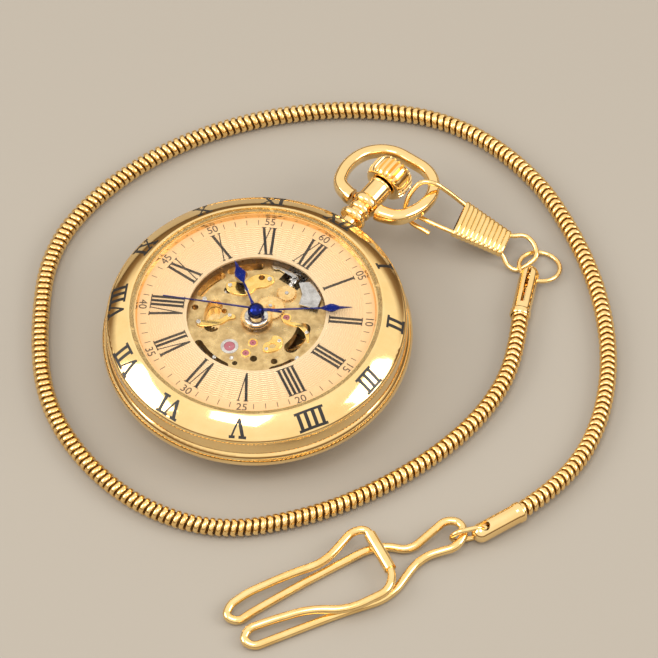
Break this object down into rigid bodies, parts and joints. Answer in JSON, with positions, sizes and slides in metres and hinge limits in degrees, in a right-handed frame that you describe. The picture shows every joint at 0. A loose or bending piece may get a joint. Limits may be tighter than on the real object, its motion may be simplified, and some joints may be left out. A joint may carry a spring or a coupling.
{
  "type": "pocket watch",
  "caption": "Open-faced pocket watch with gilt case, open-centre dial, hand-wound movement, swinging bow, winding crown and a snake chain with spring clasp and belt clip.",
  "frame": {"origin": "centre of the flat case back, where the watch lies on a table", "axes": "+Z out of the dial, +Y from six o'clock to the pendant at twelve, +X to three o'clock"},
  "size_m": [0.092, 0.0969, 0.0141],
  "materials": {
    "gilt_case": "polished gilt",
    "crystal": "clear polished mineral glass",
    "gasket": "translucent nylon",
    "champagne_dial": "engine-turned champagne lacquer",
    "flange": "polished gilt",
    "blued_steel": "heat-blued and polished",
    "plate_brass": "gilt, grained",
    "copper_wheel": "satin",
    "steel": "grained",
    "polished_steel": "polished",
    "ruby": "polished synthetic ruby",
    "chain_gilt": "gilt snake chain",
    "clip_gilt": "gilt wire"
  },
  "bodies": {
    "case": {"case_body": "gilt_case", "back_cover": "gilt_case", "back_glass": "crystal", "crystal": "crystal", "crystal_gasket": "gasket", "dial_flange": "flange", "pendant": "gilt_case", "dial": "champagne_dial", "movement_ring": "plate_brass", "main_plate": "plate_brass", "barrel_bridge": "plate_brass", "train_bridge": "plate_brass", "pallet_bridge": "plate_brass", "balance_cock": "plate_brass", "bridge_screws": "blued_steel", "plate_jewels": "ruby", "balance_setting": "polished_steel", "bridge_jewels": "ruby", "setting_bridge": "polished_steel", "keyless_studs": "steel", "snake_chain": "chain_gilt", "end_cap_upper": "chain_gilt", "end_cap_lower": "chain_gilt", "jump_ring": "clip_gilt", "oval_link": "clip_gilt", "clip_wire": "clip_gilt"},
    "bow": {"bow": "gilt_case"},
    "clasp": {"clasp_wire": "clip_gilt", "clasp_sleeve": "clip_gilt"},
    "ferrule": {"clip_ferrule": "clip_gilt"},
    "winding": {"winding_pinion": "steel"},
    "crown": {"crown": "gilt_case", "stem": "steel"},
    "clutch": {"clutch_wheel": "steel"},
    "lever": {"setting_lever": "steel"},
    "yoke": {"yoke": "steel"},
    "crown_wheel": {"crown_wheel": "polished_steel"},
    "ratchet": {"ratchet_wheel": "polished_steel", "barrel_arbor": "steel"},
    "click": {"click": "polished_steel"},
    "seconds": {"fourth_wheel": "copper_wheel", "seconds_hand": "blued_steel"},
    "minutes": {"centre_wheel": "copper_wheel", "cannon_pinion": "steel", "minute_hand": "blued_steel"},
    "hours": {"hour_wheel": "copper_wheel", "hour_hand": "blued_steel"},
    "minute_wheel": {"minute_wheel": "copper_wheel"},
    "setting_wheel": {"setting_wheel": "copper_wheel"},
    "third": {"third_wheel": "copper_wheel"},
    "escape": {"escape_wheel": "copper_wheel"},
    "barrel": {"barrel_drum": "copper_wheel", "barrel_cover": "copper_wheel", "mainspring": "steel"},
    "balance": {"balance_wheel": "copper_wheel", "balance_staff": "polished_steel", "hairspring": "steel"},
    "fork": {"pallet_fork": "polished_steel", "pallet_stones": "ruby"},
    "regulator": {"regulator": "polished_steel"}
  },
  "joints": [
    {"name": "bow_swing", "type": "hinge", "parent": "case", "child": "bow", "pos_m": [0, 0.0274, 0.0088], "axis": [1, 0, 0], "range_deg": [-8, 12]},
    {"name": "clasp_tilt", "type": "hinge", "parent": "case", "child": "clasp", "pos_m": [0.0239, 0.0386, 0.0013], "axis": [0, 1, 0], "range_deg": [-4, 6]},
    {"name": "crown_turn", "type": "hinge", "parent": "case", "child": "winding", "pos_m": [0, 0.011, 0.0088], "axis": [0, 1, 0], "continuous": true},
    {"name": "crown_pull", "type": "slide", "parent": "winding", "child": "crown", "axis": [0, 1, 0], "range_m": [0, 0.0008]},
    {"name": "clutch_slide", "type": "slide", "parent": "winding", "child": "clutch", "axis": [0, -1, 0], "range_m": [0, 0.0006]},
    {"name": "setting_lever_turn", "type": "hinge", "parent": "case", "child": "lever", "pos_m": [0.0034, 0.0117, 0.01005], "axis": [0, 0, -1], "range_deg": [0, 14]},
    {"name": "yoke_turn", "type": "hinge", "parent": "case", "child": "yoke", "pos_m": [-0.0034, 0.0096, 0.01], "axis": [0, 0, -1], "range_deg": [0, 11]},
    {"name": "crown_wheel_turn", "type": "hinge", "parent": "case", "child": "crown_wheel", "pos_m": [0, 0.0082, 0.005], "axis": [0, 0, 1], "continuous": true},
    {"name": "ratchet_turn", "type": "hinge", "parent": "case", "child": "ratchet", "pos_m": [-0.0068, 0.00182, 0.005], "axis": [0, 0, 1], "continuous": true},
    {"name": "click_turn", "type": "hinge", "parent": "case", "child": "click", "pos_m": [-0.00964, -0.00598, 0.0046], "axis": [0, 0, 1], "range_deg": [-8, 0], "stiffness_Nm_per_rad": 0.000001},
    {"name": "seconds_turn", "type": "hinge", "parent": "case", "child": "seconds", "pos_m": [0, 0, 0.006], "axis": [0, 0, -1], "continuous": true},
    {"name": "minutes_turn", "type": "hinge", "parent": "case", "child": "minutes", "pos_m": [0, 0, 0.008], "axis": [0, 0, -1], "continuous": true},
    {"name": "hours_turn", "type": "hinge", "parent": "case", "child": "hours", "pos_m": [0, 0, 0.01], "axis": [0, 0, -1], "continuous": true},
    {"name": "minute_wheel_turn", "type": "hinge", "parent": "case", "child": "minute_wheel", "pos_m": [0.0005, 0.00284, 0.01], "axis": [0, 0, -1], "continuous": true},
    {"name": "setting_wheel_turn", "type": "hinge", "parent": "case", "child": "setting_wheel", "pos_m": [0.00088, 0.00642, 0.01], "axis": [0, 0, -1], "continuous": true},
    {"name": "third_turn", "type": "hinge", "parent": "case", "child": "third", "pos_m": [0.00345, 0.00289, 0.007], "axis": [0, 0, -1], "continuous": true},
    {"name": "escape_turn", "type": "hinge", "parent": "case", "child": "escape", "pos_m": [0.00216, -0.00373, 0.007], "axis": [0, 0, -1], "continuous": true},
    {"name": "barrel_turn", "type": "hinge", "parent": "case", "child": "barrel", "pos_m": [-0.0068, 0.00182, 0.007], "axis": [0, 0, -1], "continuous": true},
    {"name": "balance_swing", "type": "hinge", "parent": "case", "child": "balance", "pos_m": [-0.0003, -0.0063, 0.0043], "axis": [0, 0, 1], "range_deg": [-270, 270], "stiffness_Nm_per_rad": 0.0000005},
    {"name": "fork_rock", "type": "hinge", "parent": "case", "child": "fork", "pos_m": [0.00242, -0.00587, 0.007], "axis": [0, 0, 1], "range_deg": [-4, 4]},
    {"name": "regulator_turn", "type": "hinge", "parent": "case", "child": "regulator", "pos_m": [-0.0003, -0.0063, 0.0027], "axis": [0, 0, 1], "range_deg": [-20, 20]},
    {"name": "ferrule_turn", "type": "hinge", "parent": "case", "child": "ferrule", "pos_m": [0.0369, -0.01886, 0.0024], "axis": [0.8896, -0.4567, 0], "continuous": true}
  ],
  "couplings": [
    {"joint": "clasp_tilt", "follows": "bow_swing", "ratio": 0.42},
    {"joint": "clutch_slide", "follows": "crown_pull", "ratio": 0.75},
    {"joint": "setting_lever_turn", "follows": "crown_pull", "rad_per_m": 294},
    {"joint": "yoke_turn", "follows": "crown_pull", "rad_per_m": 220},
    {"joint": "crown_wheel_turn", "follows": "crown_turn", "ratio": 0.5},
    {"joint": "ratchet_turn", "follows": "crown_turn", "ratio": -0.325},
    {"joint": "minutes_turn", "follows": "seconds_turn", "ratio": 0.016667},
    {"joint": "hours_turn", "follows": "seconds_turn", "ratio": 0.0013889},
    {"joint": "minute_wheel_turn", "follows": "seconds_turn", "ratio": -0.0055556},
    {"joint": "setting_wheel_turn", "follows": "seconds_turn", "ratio": 0.0083333},
    {"joint": "third_turn", "follows": "seconds_turn", "ratio": -0.13333},
    {"joint": "escape_turn", "follows": "seconds_turn", "ratio": -10},
    {"joint": "barrel_turn", "follows": "seconds_turn", "ratio": -0.0026316},
    {"joint": "fork_rock", "follows": "balance_swing", "ratio": 0.014815}
  ]
}
